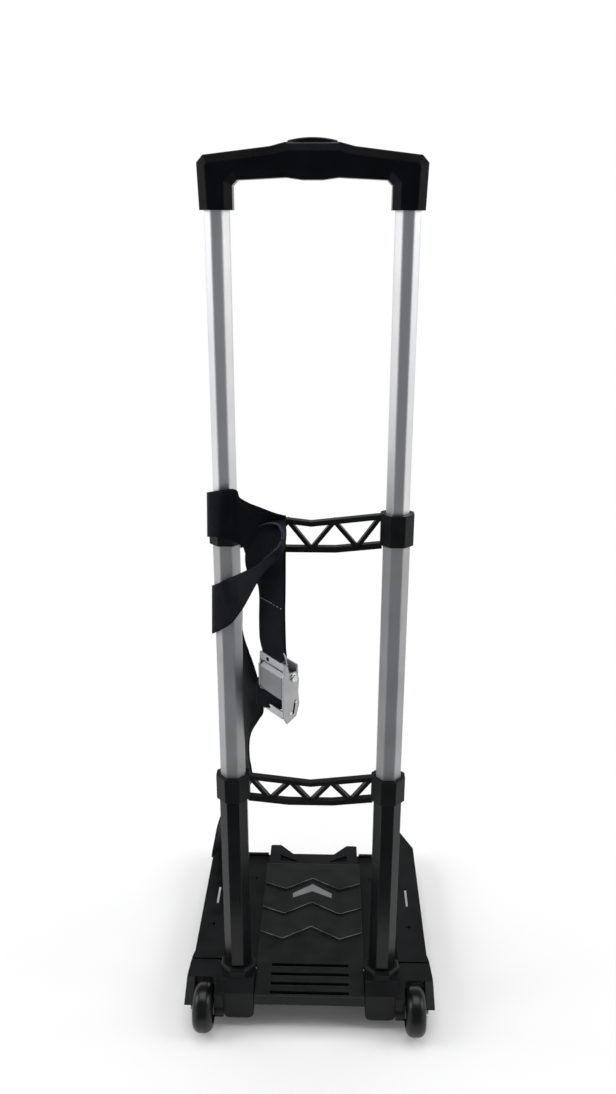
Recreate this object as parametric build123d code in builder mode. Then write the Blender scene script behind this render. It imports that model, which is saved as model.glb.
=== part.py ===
from build123d import *
import os
from math import cos, radians, sin, sqrt

# Folding telescopic luggage cart, millimetres, +Z up, +Y away from the user.
# The origin is on the floor, in the middle of the footprint.
# Lengths called y below are measured from the line of the two posts.

# Overall layout
post_spacing = 175.0
plate_reach = 289.0
deck_height = 52.0
floor_gap = 15.0

# Wheels
wheel_diameter = 57.0
wheel_width = 24.0
wheel_x = 128.0
axle_setback = 28.0
axle_diameter = 8.0
axle_head_diameter = 13.0
axle_head_height = 2.5
axle_end_inset = 2.0
tyre_thickness = 10.0
tyre_round = 9.5
hub_boss_diameter = 17.0
hub_web = 8.0
rim_setback = 2.0
rim_wall = 3.0
hub_hole_diameter = 5.0
hub_holes = 5
bush_wall = 1.4
bush_flange = 0.8
bush_length = 8.0

# Telescoping octagonal tubes
upper_tube_width = 23.6
upper_tube_corner = 6.4
middle_tube_width = 27.4
lower_tube_width = 31.0
post_flatness = 6.0
tube_wall = 1.2
lower_tube_bottom = 19.0
middle_tube_bottom = 312.0
upper_tube_bottom = 614.0

# Crossbars
collar_wall = 3.2
lower_collar_bottom = 311.0
lower_collar_height = 30.0
upper_collar_bottom = 617.0
upper_collar_height = 33.5
collar_lip = 1.2
bush_ring_height = 3.5
truss_depth = 7.6
chord_width = 5.0
low_chord_width = 6.0
web_width = 4.0
top_chord_dip = 8.5
low_chord_dip = 5.0
low_chord_drop = 1.0
low_chord_flat = 25.0
collar_screw_diameter = 3.0
collar_screw_head = 6.4
collar_screw_head_height = 1.6

# End plugs and spring catches
plug_height = 5.0
middle_spigot = 9.0
upper_spigot = 16.0
middle_catch_share = 0.5
upper_catch_share = 0.75
catch_width = 6.0
catch_thickness = 0.9
catch_nose_diameter = 4.0
catch_hole_gap = 0.3

# Feet
socket_width = 41.5
socket_rim_width = 37.5
socket_rim_rise = 23.0
socket_taper = 3.0
foot_inner_x = 67.5
foot_outer_x = 104.0
foot_front = 30.0
foot_back = 23.0
foot_round = 8.0
hump_rise = 11.0
hump_front = 17.5
flange_front = 34.5
flange_bottom = 20.0
wheel_well_gap = 5.0
wheel_well_round = 8.0
wheel_side_gap = 1.0
fender_wall = 10.0
fender_bottom = 20.0
axle_lobe = 8.5
axle_clear = 7.5
fender_lead = 6.6
fender_rise = 8.8
fender_top_lead = 5.5
foot_screw_diameter = 4.0
foot_screw_head = 8.0
foot_screw_head_height = 3.0
foot_screw_z = 31.0

# Hinge of the plate
hinge_y = 15.5
hinge_drop = 5.5
hinge_rod_diameter = 4.0
hinge_rod_overrun = 24.0
hinge_nose = 10.0

# Plate
wing_inner_x = 110.0
wing_outer_x = 147.0
wing_flare = 2.5
wing_flare_length = 12.5
wing_near_y = 26.5
wing_corner_x = 17.4
wing_corner_y = 39.0
wing_skin = 3.5
plate_wall = 3.0
wing_bottom = 24.0
channel_depth = 12.0
channel_far_y = 245.0
channel_lip = 4.0
channel_near_gap = 1.0
deck_half_width = 66.5
deck_side_gap = 0.25
deck_near_y = -31.0
deck_far_y = 210.0
deck_thickness = 2.5
pan_depth = 15.0
hinge_boss_width = 12.0
hinge_boss_length = 16.0
rib_pitch = 44.0
ear_drop = 8.0
ear_far_y = 263.0
ear_near_y = 243.0
ear_inner_x = 49.0
ear_outer_x = 62.0
ear_slope = 19.0
ear_round = 2.0
window_inner_x = 20.0
window_gap = 15.5
window_size = 15.5
slot_x = 129.0
slot_width = 3.2
slot_near_y = 126.0
slot_length = 36.0
wing_screw_y = 87.0
channel_screw_x = 81.0
channel_screw_y = 193.0
deck_screw_head = 7.0
deck_screw_head_height = 1.6
deck_screw_diameter = 3.5
leg_size = 16.0
leg_x = 128.0
leg_near_y = 48.0
leg_far_y = 258.0
pad_height = 3.0
pad_stem_diameter = 6.0
pad_stem_height = 6.0

# Deck pattern
chevron_near_ys = (73.0, 119.0, 167.5)
chevron_valley_x = 37.0
chevron_valley_drop = 13.0
chevron_peak_rise = 10.0
chevron_pitch = 46.0
chevron_gap = 3.0
chevron_step = 2.6
chevron_low = 0.6
groove_ys = (17.3, 2.4, -12.6, -26.8)
groove_half_length = 48.0
groove_width = 5.0
groove_depth = 1.6
accent_half_width = 26.7
accent_peak_y = 166.0
accent_end_y = 147.0
accent_band = 14.5
accent_end_band = 9.5
accent_height = 1.6
accent_seat = 0.4

# Handle
leg_width = 30.4
leg_depth = 25.0
leg_bottom = 939.0
grip_corner_rise = 21.0
grip_corner_round = 4.5
grip_under_rise = 27.7
grip_under_half = 24.0
grip_bulge_rise = 25.7
grip_bulge_half = 9.0
shoulder_rise = 40.0
shoulder_top_rise = 46.5
shoulder_inset = 4.5
shoulder_flare = 1.4
arm_half = 38.0
arm_rise = 53.6
crown_half = 24.5
crown_rise = 57.0
handle_bevel = 7.5
handle_bevel_depth = 4.0
bevel_clear = 1.0
tube_depth = 28.5
handle_screw_rise = 7.0
handle_screw_pitch = 13.0
handle_screw_diameter = 3.0
handle_screw_head = 6.0
handle_screw_head_height = 2.0

# Release mechanism
button_half_width = 22.5
button_depth = 16.0
button_rise = 13.5
button_height = 19.1
button_dome = 2.7
button_round = 1.8
button_travel = 4.0
button_gap = 0.4
bar_height = 5.0
bar_width = 6.0
bar_gap = 0.5
rod_diameter = 5.0
rod_clear = 10.0
spring_x = 40.0
spring_diameter = 6.0
spring_wall = 0.8
spring_seat = 0.1

# Strap and buckle
strap_width = 42.0
strap_thickness = 1.4
strap_gap = 0.4
wrap_slant = 29.0
wrap_rise = 7.0
wrap_open_x = 9.0
tube_wrap_drop = 76.0
tube_wrap_tilt = 34.0
hanger_offset = 48.5
hanger_y = -34.0
hanger_turn = 51.0
buckle_width = 44.0
buckle_drop = 122.0
buckle_height = 68.7
buckle_front = 3.0
buckle_rear = -18.0
cheek_thickness = 2.0
buckle_plate = 2.0
neck_low_share = 0.89
back_low_share = 0.22
back_high_share = 0.93
lip_low_share = 0.1
lip_high_share = 0.22
buckle_pin_height_share = 0.738
buckle_pin_depth_share = 0.667
buckle_pin_diameter = 5.0
buckle_pin_head_ratio = 1.4
buckle_bar_diameter = 4.0
buckle_bar_height_share = 0.16
buckle_bar_depth_share = 0.5
tail_aside = 38.4
tail_behind = 15.5
lever_gap = 0.5
lever_wall = 3.0
lever_drop = 22.0
lever_rise = 7.0
lever_chamfer = 4.0
knuckle_back = 4.0
knuckle_top = 4.5
knuckle_low = 5.5

# Side of the buckle: share of its depth behind the front, share of its height
cheek_shape = (
    (0.0, 0.8),
    (0.0, 0.13),
    (0.24, 0.0),
    (0.81, 0.09),
    (1.0, 0.28),
    (0.93, 0.49),
    (0.98, 0.72),
    (0.81, 0.84),
    (0.38, 0.84),
    (0.29, 1.0),
    (0.1, 1.0),
    (0.07, 0.84),
)

# Clearances
fixed_gap = 0.02
seat_gap = 0.05
slide_gap = 0.08
swing_gap = 0.05

# Worked out from the sizes above
wheel_radius = wheel_diameter / 2
turn_cos = cos(radians(hanger_turn))
turn_sin = sin(radians(hanger_turn))
post_x = post_spacing / 2
hanger_x = hanger_offset - post_x
wrap_bottom = upper_collar_bottom + wrap_rise
wrap_height = strap_width / cos(radians(wrap_slant))
tube_wrap_z = wrap_bottom - tube_wrap_drop
buckle_top = wrap_bottom - buckle_drop
buckle_bottom = buckle_top - buckle_height
buckle_reach = buckle_width / 2 * turn_sin + buckle_front * turn_cos - hanger_y
near_reach = max(axle_setback + wheel_radius, buckle_reach)
post_y = (near_reach - plate_reach) / 2
lower_collar_top = lower_collar_bottom + lower_collar_height
upper_collar_top = upper_collar_bottom + upper_collar_height
lower_tube_top = lower_collar_top - collar_lip - bush_ring_height
middle_tube_top = upper_collar_top - collar_lip - bush_ring_height
upper_collar_width = middle_tube_width + 2 * collar_wall
lower_collar_screw_z = lower_collar_bottom + lower_collar_height / 2
upper_collar_screw_z = upper_collar_bottom + upper_collar_height / 2
lower_bore = lower_tube_width - 2 * tube_wall
middle_bore = middle_tube_width - 2 * tube_wall
upper_bore = upper_tube_width - 2 * tube_wall
middle_catch_z = middle_tube_bottom + middle_spigot * middle_catch_share
upper_catch_z = upper_tube_bottom + upper_spigot * upper_catch_share
wheel_inner_x = wheel_x - wheel_width / 2
wheel_outer_x = wheel_x + wheel_width / 2
well_inner_x = wheel_inner_x - wheel_side_gap
well_outer_x = wheel_outer_x + wheel_side_gap
fender_outer_x = well_outer_x + fender_wall
axle_inner_x = foot_outer_x + axle_end_inset
axle_head_x = wheel_outer_x + bush_flange + 2 * swing_gap
pan_top = deck_height - deck_thickness
pan_bottom = deck_height - pan_depth
channel_floor = deck_height - channel_depth
ear_top = deck_height - ear_drop
hinge_z = deck_height - hinge_drop
hump_top = deck_height + hump_rise
socket_rim_height = deck_height + socket_rim_rise
neck_half = post_x - socket_width / 2 - deck_side_gap
deck_spans = (
    (neck_half, deck_near_y, wing_near_y),
    (deck_half_width, wing_near_y, deck_far_y),
)
tube_top = leg_bottom + tube_depth
handle_screw_low = leg_bottom + handle_screw_rise
handle_screw_zs = (handle_screw_low, handle_screw_low + handle_screw_pitch)
crown_z = leg_bottom + crown_rise
button_bottom = tube_top + button_rise
button_top = button_bottom + button_height
rod_bottom = upper_tube_bottom + upper_spigot + rod_clear
spring_bottom = tube_top + spring_seat
bar_bottom = button_bottom - bar_height
channel_bottom = bar_bottom - button_travel - 2 * bar_gap
channel_top = button_bottom + 2 * bar_gap
SIDES = (("left", -1), ("right", 1))

os.makedirs("parts", exist_ok=True)


def level(x, z):
    """Horizontal plane at height z, with its origin x across on the post line."""
    return Plane(origin=(x, post_y, z))


def across(x):
    """Upright plane facing +X: local x is y from the posts, local y is height."""
    return Plane(origin=(x, post_y, 0), x_dir=(0, 1, 0), z_dir=(1, 0, 0))


def frontal(y):
    """Upright plane facing the user: local x is x, local y is height."""
    return Plane(origin=(0, post_y + y, 0), x_dir=(1, 0, 0), z_dir=(0, -1, 0))


def slab(x, y, z, mode=Mode.ADD):
    """Block between pairs of limits in x, y and z."""
    with Locations((sum(x) / 2, post_y + sum(y) / 2, sum(z) / 2)):
        Box(abs(x[1] - x[0]), abs(y[1] - y[0]), abs(z[1] - z[0]), mode=mode)


def prism(plane, points, amount, mode=Mode.ADD):
    """Polygon on a plane, extruded along the plane's normal."""
    with BuildSketch(plane) as outline:
        Polygon(*points, align=None)
    extrude(outline.sketch, amount=amount, mode=mode)


def disc(plane, centre, diameter, amount, mode=Mode.ADD, bore=0.0):
    """Round bar, ring or hole on a plane, extruded along its normal."""
    with BuildSketch(plane) as outline:
        with Locations(centre):
            Circle(diameter / 2)
            if bore:
                Circle(bore / 2, mode=Mode.SUBTRACT)
    extrude(outline.sketch, amount=amount, mode=mode)


def octagon(width, mode=Mode.ADD):
    """Elongated octagon, parallel to every other octagon of the posts."""
    half_w = width / 2
    half_d = (width - post_flatness) / 2
    cut = upper_tube_corner + (width - upper_tube_width) * (1 - sqrt(0.5))
    corners = [(half_w, half_d - cut), (half_w - cut, half_d)]
    corners += [(-x, y) for x, y in reversed(corners)]
    corners += [(-x, -y) for x, y in corners]
    Polygon(*corners, align=None, mode=mode)


def octagon_prism(x, width, bottom, top, mode=Mode.ADD, bore=0.0):
    """Upright octagonal bar, tube or hole."""
    with BuildSketch(level(x, bottom)) as outline:
        octagon(width)
        if bore:
            octagon(bore, mode=Mode.SUBTRACT)
    extrude(outline.sketch, amount=top - bottom, mode=mode)


def half_depth(width):
    """Half of an octagon's size from front to back."""
    return (width - post_flatness) / 2


def finish(piece, name):
    """Label a finished piece and write it."""
    piece.part.label = name
    export_step(piece.part, f"parts/{name}.step")


def tube(name, x, width, bottom, top, front_holes=(), back_holes=()):
    """One tube of a post, with catch holes in front and screw holes behind."""
    with BuildPart() as piece:
        octagon_prism(x, width, bottom, top, bore=width - 2 * tube_wall)
        for z, diameter in front_holes:
            disc(frontal(0), (x, z), diameter, width, Mode.SUBTRACT)
        for z, diameter in back_holes:
            disc(frontal(0), (x, z), diameter, -width, Mode.SUBTRACT)
    finish(piece, name)


# Tubes
catch_hole = catch_nose_diameter + 2 * catch_hole_gap
for side, sign in SIDES:
    x = sign * post_x
    tube(
        f"lower_tube_{side}",
        x,
        lower_tube_width,
        lower_tube_bottom,
        lower_tube_top,
        front_holes=[(middle_catch_z, catch_hole)],
        back_holes=[
            (lower_collar_screw_z, collar_screw_diameter + 2 * fixed_gap),
            (foot_screw_z, foot_screw_diameter + 2 * fixed_gap),
        ],
    )
    tube(
        f"middle_tube_{side}",
        x,
        middle_tube_width,
        middle_tube_bottom,
        middle_tube_top,
        front_holes=[(middle_catch_z, catch_hole), (upper_catch_z, catch_hole)],
        back_holes=[(upper_collar_screw_z, collar_screw_diameter + 2 * fixed_gap)],
    )
    tube(
        f"upper_tube_{side}",
        x,
        upper_tube_width,
        upper_tube_bottom,
        tube_top,
        front_holes=[(upper_catch_z, catch_hole)],
        back_holes=[
            (z, handle_screw_diameter + 2 * fixed_gap) for z in handle_screw_zs
        ],
    )


# Crossbars
def crossbar(name, bottom, top, tube_width):
    """Two octagonal collars joined by a flat lattice that dips in the middle."""
    width = tube_width + 2 * collar_wall
    back = half_depth(width)
    screw_z = (bottom + top) / 2
    end = post_x - width / 2 + collar_wall / 2
    top_end = top - chord_width / 2 - collar_lip
    low_end = bottom - low_chord_drop
    low_mid = low_end - low_chord_dip
    panel = (post_x - width / 2) / 3
    with BuildPart() as piece:
        with BuildSketch(frontal(truss_depth / 2)):
            with BuildLine():
                Polyline((-end, top_end), (0, top_end - top_chord_dip), (end, top_end))
            trace(line_width=chord_width)
            with BuildLine():
                Polyline(
                    (-end, low_end),
                    (-low_chord_flat, low_mid),
                    (low_chord_flat, low_mid),
                    (end, low_end),
                )
            trace(line_width=low_chord_width)
            with BuildLine():
                Polyline(
                    (-3 * panel, top_end),
                    (-2 * panel, low_end - low_chord_dip / 2),
                    (-panel, top_end - top_chord_dip * 2 / 3),
                    (0, low_mid),
                    (panel, top_end - top_chord_dip * 2 / 3),
                    (2 * panel, low_end - low_chord_dip / 2),
                    (3 * panel, top_end),
                )
            trace(line_width=web_width)
        extrude(amount=truss_depth)
        for side, sign in SIDES:
            octagon_prism(sign * post_x, width, bottom, top)
        for side, sign in SIDES:
            x = sign * post_x
            bore = tube_width + 2 * seat_gap
            octagon_prism(x, bore, bottom - low_chord_width, top - collar_lip, Mode.SUBTRACT)
            lip_bore = tube_width - 2 * tube_wall
            octagon_prism(x, lip_bore, top - collar_lip, top, Mode.SUBTRACT)
            disc(
                frontal(back), (x, screw_z), collar_screw_head + 2 * fixed_gap,
                collar_screw_head_height, Mode.SUBTRACT,
            )
            disc(
                frontal(back), (x, screw_z), collar_screw_diameter + 2 * fixed_gap,
                collar_wall + tube_wall, Mode.SUBTRACT,
            )
    finish(piece, name)


def collar_screws(name, z, tube_width):
    """One flat-headed screw behind each collar, as deep as the tube's wall."""
    back = half_depth(tube_width + 2 * collar_wall)
    with BuildPart() as piece:
        for side, sign in SIDES:
            spot = (sign * post_x, z)
            disc(frontal(back), spot, collar_screw_head, collar_screw_head_height)
            disc(frontal(back), spot, collar_screw_diameter, collar_wall + tube_wall)
    finish(piece, name)


def guide_bushes(name, bottom, outer_width, inner_width):
    """Plain rings that guide a sliding tube at the end of its outer tube."""
    with BuildPart() as piece:
        for side, sign in SIDES:
            octagon_prism(
                sign * post_x, outer_width, bottom, bottom + bush_ring_height,
                bore=inner_width + 2 * slide_gap,
            )
    finish(piece, name)


crossbar("lower_crossbar", lower_collar_bottom, lower_collar_top, lower_tube_width)
crossbar("upper_crossbar", upper_collar_bottom, upper_collar_top, middle_tube_width)
collar_screws("lower_collar_screws", lower_collar_screw_z, lower_tube_width)
collar_screws("upper_collar_screws", upper_collar_screw_z, middle_tube_width)
guide_bushes("lower_bushes", lower_tube_top, lower_tube_width, middle_tube_width)
guide_bushes("upper_bushes", middle_tube_top, middle_tube_width, upper_tube_width)


# End plugs and spring catches of the two sliding stages
def end_plugs(name, tube_bottom, spigot, outer_bore, inner_bore):
    """Plug under each sliding tube, with a groove for its spring catch."""
    front = half_depth(inner_bore)
    with BuildPart() as piece:
        for side, sign in SIDES:
            x = sign * post_x
            octagon_prism(
                x, outer_bore - 2 * slide_gap, tube_bottom - plug_height, tube_bottom
            )
            octagon_prism(
                x, inner_bore - 2 * seat_gap, tube_bottom, tube_bottom + spigot
            )
            slab(
                (x - catch_width / 2, x + catch_width / 2),
                (-front, -front + catch_thickness + seat_gap),
                (tube_bottom, tube_bottom + spigot),
                Mode.SUBTRACT,
            )
    finish(piece, name)


def catch_springs(name, tube_bottom, spigot, inner_bore, outer_width, catch_z):
    """Leaf in the plug's groove, with a nose through both tube walls."""
    front = half_depth(inner_bore)
    with BuildPart() as piece:
        for side, sign in SIDES:
            x = sign * post_x
            slab(
                (x - catch_width / 2 + seat_gap, x + catch_width / 2 - seat_gap),
                (-front + seat_gap, -front + catch_thickness),
                (tube_bottom, tube_bottom + spigot),
            )
            disc(
                frontal(-front + seat_gap), (x, catch_z), catch_nose_diameter,
                half_depth(outer_width) - front,
            )
    finish(piece, name)


end_plugs("middle_plugs", middle_tube_bottom, middle_spigot, lower_bore, middle_bore)
end_plugs("upper_plugs", upper_tube_bottom, upper_spigot, middle_bore, upper_bore)
catch_springs(
    "middle_lock_springs", middle_tube_bottom, middle_spigot, middle_bore,
    lower_tube_width, middle_catch_z,
)
catch_springs(
    "upper_lock_springs", upper_tube_bottom, upper_spigot, upper_bore,
    middle_tube_width, upper_catch_z,
)


# Feet
def foot(name, sign):
    """Socket block, axle flange and wheel fender in one moulding."""
    x = sign * post_x
    nose_y = hinge_y + sqrt(hinge_nose**2 - (deck_height - hinge_z) ** 2)
    fender_far_y = hinge_y + hinge_nose
    roof = [
        (-axle_setback, deck_height),
        (nose_y, deck_height),
        (fender_far_y, hinge_z),
        (fender_far_y, fender_bottom),
        (-axle_setback, fender_bottom),
    ]
    wall = [
        (-axle_setback + wheel_radius - fender_top_lead, deck_height),
        (nose_y, deck_height),
        (fender_far_y, hinge_z),
        (fender_far_y, fender_bottom),
        (-axle_setback, wheel_radius + axle_clear),
        (-axle_setback - fender_lead, wheel_radius + fender_rise),
    ]
    hump = [
        (-foot_front, deck_height),
        (-hump_front, hump_top),
        (hump_front, hump_top),
        (hump_front, deck_height),
    ]
    with BuildPart() as well:
        disc(
            across(sign * well_inner_x), (-axle_setback, wheel_radius),
            wheel_diameter + 2 * wheel_well_gap, sign * (well_outer_x - well_inner_x),
        )
        rims = well.edges().filter_by(GeomType.CIRCLE)
        fillet(rims.sort_by(lambda rim: abs(rim.center().X))[0], wheel_well_round)
    with BuildPart() as piece:
        slab(
            (sign * foot_inner_x, sign * foot_outer_x),
            (-foot_front, foot_back),
            (floor_gap, deck_height),
        )
        fillet(piece.edges().filter_by(Axis.Y).group_by(Axis.Z)[0], foot_round)
        slab(
            (sign * foot_outer_x, sign * well_inner_x),
            (-flange_front, foot_back),
            (flange_bottom, deck_height),
        )
        disc(
            across(sign * foot_outer_x), (-axle_setback, wheel_radius), 2 * axle_lobe,
            sign * (well_inner_x - foot_outer_x),
        )
        hump_width = 2 * (post_x - foot_inner_x)
        prism(across(sign * foot_inner_x), hump, sign * hump_width)
        prism(across(sign * well_inner_x), roof, sign * (well_outer_x - well_inner_x))
        add(well.part, mode=Mode.SUBTRACT)
        prism(across(sign * well_outer_x), wall, sign * fender_wall)
        flare = [
            (sign * fender_outer_x, fender_far_y),
            (sign * (wing_outer_x + wing_flare), fender_far_y),
            (sign * fender_outer_x, 0),
        ]
        prism(level(0, fender_bottom), flare, deck_height - fender_bottom, Mode.SUBTRACT)
        taper_z = socket_rim_height - socket_taper
        octagon_prism(x, socket_width, deck_height, taper_z)
        with BuildSketch(level(x, taper_z)) as rim_base:
            octagon(socket_width)
        with BuildSketch(level(x, socket_rim_height)) as rim_top:
            octagon(socket_rim_width)
        loft([rim_base.sketch, rim_top.sketch], ruled=True)
        bore = lower_tube_width + 2 * seat_gap
        octagon_prism(x, bore, lower_tube_bottom, socket_rim_height, Mode.SUBTRACT)
        disc(
            across(0), (hinge_y, hinge_z), hinge_rod_diameter + 2 * fixed_gap,
            sign * (post_x + hinge_rod_overrun), Mode.SUBTRACT,
        )
        disc(
            across(sign * axle_inner_x), (-axle_setback, wheel_radius),
            axle_diameter + 2 * fixed_gap,
            sign * (well_inner_x - axle_inner_x), Mode.SUBTRACT,
        )
        disc(
            frontal(foot_back), (x, foot_screw_z), foot_screw_diameter + 2 * fixed_gap,
            foot_back, Mode.SUBTRACT,
        )
        disc(
            frontal(foot_back), (x, foot_screw_z), foot_screw_head + 2 * seat_gap,
            foot_screw_head_height, Mode.SUBTRACT,
        )
    finish(piece, name)


def axle(name, sign):
    """Headed pin from the outside of the wheel into the foot."""
    with BuildPart() as piece:
        disc(
            across(sign * axle_inner_x), (-axle_setback, wheel_radius), axle_diameter,
            sign * (axle_head_x - axle_inner_x),
        )
        disc(
            across(sign * axle_head_x), (-axle_setback, wheel_radius),
            axle_head_diameter, sign * axle_head_height,
        )
    finish(piece, name)


for side, sign in SIDES:
    foot(f"{side}_foot", sign)
    axle(f"{side}_axle", sign)

with BuildPart() as hinge_rod:
    rod_end = post_x + hinge_rod_overrun
    disc(across(-rod_end), (hinge_y, hinge_z), hinge_rod_diameter, 2 * rod_end)
finish(hinge_rod, "hinge_rod")

with BuildPart() as foot_screws:
    for side, sign in SIDES:
        spot = (sign * post_x, foot_screw_z)
        shank = foot_back - half_depth(lower_bore)
        disc(frontal(foot_back), spot, foot_screw_diameter, shank)
        disc(frontal(foot_back), spot, foot_screw_head, foot_screw_head_height)
finish(foot_screws, "foot_screws")


# Wheels
def tyre(name, sign):
    """Rubber ring with a round tread."""
    axis = Axis((0, post_y - axle_setback, wheel_radius), (1, 0, 0))
    bead = 2 * wheel_radius - tyre_thickness
    with BuildPart() as piece:
        with BuildSketch(frontal(-axle_setback)) as section:
            with Locations((sign * wheel_x, bead)):
                Rectangle(wheel_width, tyre_thickness, align=(Align.CENTER, Align.MIN))
            fillet(section.vertices().group_by(Axis.Y)[-1], tyre_round)
        revolve(axis=axis)
    finish(piece, name)


def hub(name, sign):
    """Rim, web with round holes, and a boss for the bushes."""
    axis = Axis((0, post_y - axle_setback, wheel_radius), (1, 0, 0))
    rim = wheel_radius - tyre_thickness - seat_gap
    rim_half = wheel_width / 2 - rim_setback
    rim_inner = rim - rim_wall
    boss = hub_boss_diameter / 2
    bore = axle_diameter / 2 + swing_gap + bush_wall + fixed_gap
    spot_circle = (rim_inner + boss) / 2
    half = [
        (rim_half, rim),
        (rim_half, rim_inner),
        (hub_web / 2, rim_inner),
        (hub_web / 2, boss),
        (wheel_width / 2, boss),
        (wheel_width / 2, bore),
    ]
    section = half + [(-x, r) for x, r in reversed(half)]
    corners = [(sign * wheel_x + x, wheel_radius + r) for x, r in section]
    centre = Plane(
        origin=(sign * wheel_x, post_y - axle_setback, wheel_radius),
        x_dir=(0, 1, 0),
        z_dir=(1, 0, 0),
    )
    with BuildPart() as piece:
        with BuildSketch(frontal(-axle_setback)):
            Polygon(*corners, align=None)
        revolve(axis=axis)
        with BuildSketch(centre):
            with PolarLocations(spot_circle, hub_holes):
                Circle(hub_hole_diameter / 2)
        extrude(amount=hub_web, both=True, mode=Mode.SUBTRACT)
    finish(piece, name)


def wheel_bushes(name, sign):
    """Flanged bushes pressed in from both faces of the hub."""
    spot = (-axle_setback, wheel_radius)
    bore = axle_diameter + 2 * swing_gap
    with BuildPart() as piece:
        for end in (-1, 1):
            face = sign * wheel_x + end * wheel_width / 2
            disc(across(face), spot, bore + 2 * bush_wall, -end * bush_length, bore=bore)
            disc(across(face), spot, hub_boss_diameter, end * bush_flange, bore=bore)
    finish(piece, name)


for side, sign in SIDES:
    tyre(f"{side}_tyre", sign)
    hub(f"{side}_hub", sign)
    wheel_bushes(f"{side}_wheel_bushes", sign)


# Folding plate
def wing_outline(sign):
    """Corners of one wing, seen from above."""
    outer_near = wing_outer_x + wing_flare
    corner_x = wing_outer_x - wing_corner_x
    points = [
        (wing_inner_x, wing_near_y),
        (outer_near, wing_near_y),
        (wing_outer_x, wing_near_y + wing_flare_length),
        (wing_outer_x, plate_reach - wing_corner_y),
        (corner_x, plate_reach),
        (wing_inner_x, plate_reach),
    ]
    return [(sign * x, y) for x, y in points]


def leg_spots(sign):
    """Places of one wing's two legs."""
    return [(sign * leg_x, leg_near_y), (sign * leg_x, leg_far_y)]


def screw_spots(sign):
    """Places of one side's two deck screws and the faces that they sit on."""
    wing = (sign * slot_x, wing_screw_y, deck_height)
    channel = (sign * channel_screw_x, channel_screw_y, channel_floor)
    return [wing, channel]


pan_floor = pan_top - plate_wall
with BuildPart() as base_plate:
    for side, sign in SIDES:
        with BuildSketch(level(0, wing_bottom)):
            Polygon(*wing_outline(sign), align=None)
        extrude(amount=deck_height - wing_bottom)
        with BuildSketch(level(0, wing_bottom)):
            Polygon(*wing_outline(sign), align=None)
            offset(amount=-plate_wall, kind=Kind.INTERSECTION, mode=Mode.REPLACE)
        extrude(amount=deck_height - wing_skin - wing_bottom, mode=Mode.SUBTRACT)
    slab(
        (-wing_inner_x, wing_inner_x),
        (wing_near_y + channel_near_gap, channel_far_y),
        (pan_bottom, channel_floor),
    )
    for side, sign in SIDES:
        slab(
            (sign * deck_half_width, sign * wing_inner_x),
            (channel_far_y - channel_lip, channel_far_y),
            (channel_floor, ear_top),
        )
    for half, near, far in deck_spans:
        slab((-half, half), (near, far), (pan_bottom, pan_top))
    hollows = (
        (neck_half, deck_near_y + plate_wall, wing_near_y - plate_wall),
        (min(neck_half, deck_half_width), wing_near_y - plate_wall, wing_near_y + plate_wall),
        (deck_half_width, wing_near_y + plate_wall, deck_far_y - plate_wall),
    )
    for half, near, far in hollows:
        slab(
            (plate_wall - half, half - plate_wall), (near, far), (pan_bottom, pan_floor),
            Mode.SUBTRACT,
        )
    rib_count = int((deck_far_y - leg_near_y) / rib_pitch)
    for rib in range(rib_count + 1):
        rib_y = leg_near_y + rib * rib_pitch
        slab(
            (plate_wall / 2 - deck_half_width, deck_half_width - plate_wall / 2),
            (rib_y, rib_y + plate_wall),
            (pan_bottom, pan_floor),
        )
    for side, sign in SIDES:
        slab(
            (sign * (neck_half - hinge_boss_width), sign * neck_half),
            (hinge_y - hinge_boss_length / 2, hinge_y + hinge_boss_length / 2),
            (pan_bottom, pan_top),
        )
    ear_half = [
        (ear_inner_x - ear_slope, ear_near_y),
        (ear_inner_x, ear_far_y),
        (ear_outer_x, ear_far_y),
        (ear_outer_x + ear_round, ear_far_y - ear_round),
        (ear_outer_x + ear_round, deck_far_y - plate_wall),
    ]
    ears = ear_half + [(-x, y) for x, y in reversed(ear_half)]
    prism(level(0, channel_floor), ears, ear_top - channel_floor)
    for side, sign in SIDES:
        window_y = deck_far_y + window_gap
        window = [
            (sign * ear_inner_x, window_y + window_size),
            (sign * ear_inner_x, window_y),
            (sign * window_inner_x, window_y),
        ]
        prism(level(0, pan_bottom), window, ear_top - pan_bottom, Mode.SUBTRACT)
        for leg_spot in leg_spots(sign):
            slab(
                (leg_spot[0] - leg_size / 2, leg_spot[0] + leg_size / 2),
                (leg_spot[1] - leg_size / 2, leg_spot[1] + leg_size / 2),
                (pad_height, deck_height - wing_skin / 2),
            )
            disc(
                level(0, pad_height), leg_spot, pad_stem_diameter + 2 * fixed_gap,
                pad_stem_height, Mode.SUBTRACT,
            )
        slab(
            (sign * slot_x - slot_width / 2, sign * slot_x + slot_width / 2),
            (slot_near_y, slot_near_y + slot_length),
            (deck_height - wing_skin, deck_height),
            Mode.SUBTRACT,
        )
        for screw_x, screw_y, face in screw_spots(sign):
            spot = (screw_x, screw_y)
            disc(
                level(0, face), spot, deck_screw_head + 2 * fixed_gap,
                -deck_screw_head_height, Mode.SUBTRACT,
            )
            disc(
                level(0, face), spot, deck_screw_diameter + 2 * fixed_gap,
                -plate_wall, Mode.SUBTRACT,
            )
    hinge_bore = hinge_rod_diameter + 2 * swing_gap
    disc(
        across(-neck_half), (hinge_y, hinge_z), hinge_bore, 2 * neck_half, Mode.SUBTRACT
    )
finish(base_plate, "base_plate")

with BuildPart() as deck_screws:
    for side, sign in SIDES:
        for screw_x, screw_y, face in screw_spots(sign):
            disc(level(0, face), (screw_x, screw_y), deck_screw_head, -deck_screw_head_height)
            disc(level(0, face), (screw_x, screw_y), deck_screw_diameter, -plate_wall)
finish(deck_screws, "deck_screws")

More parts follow.
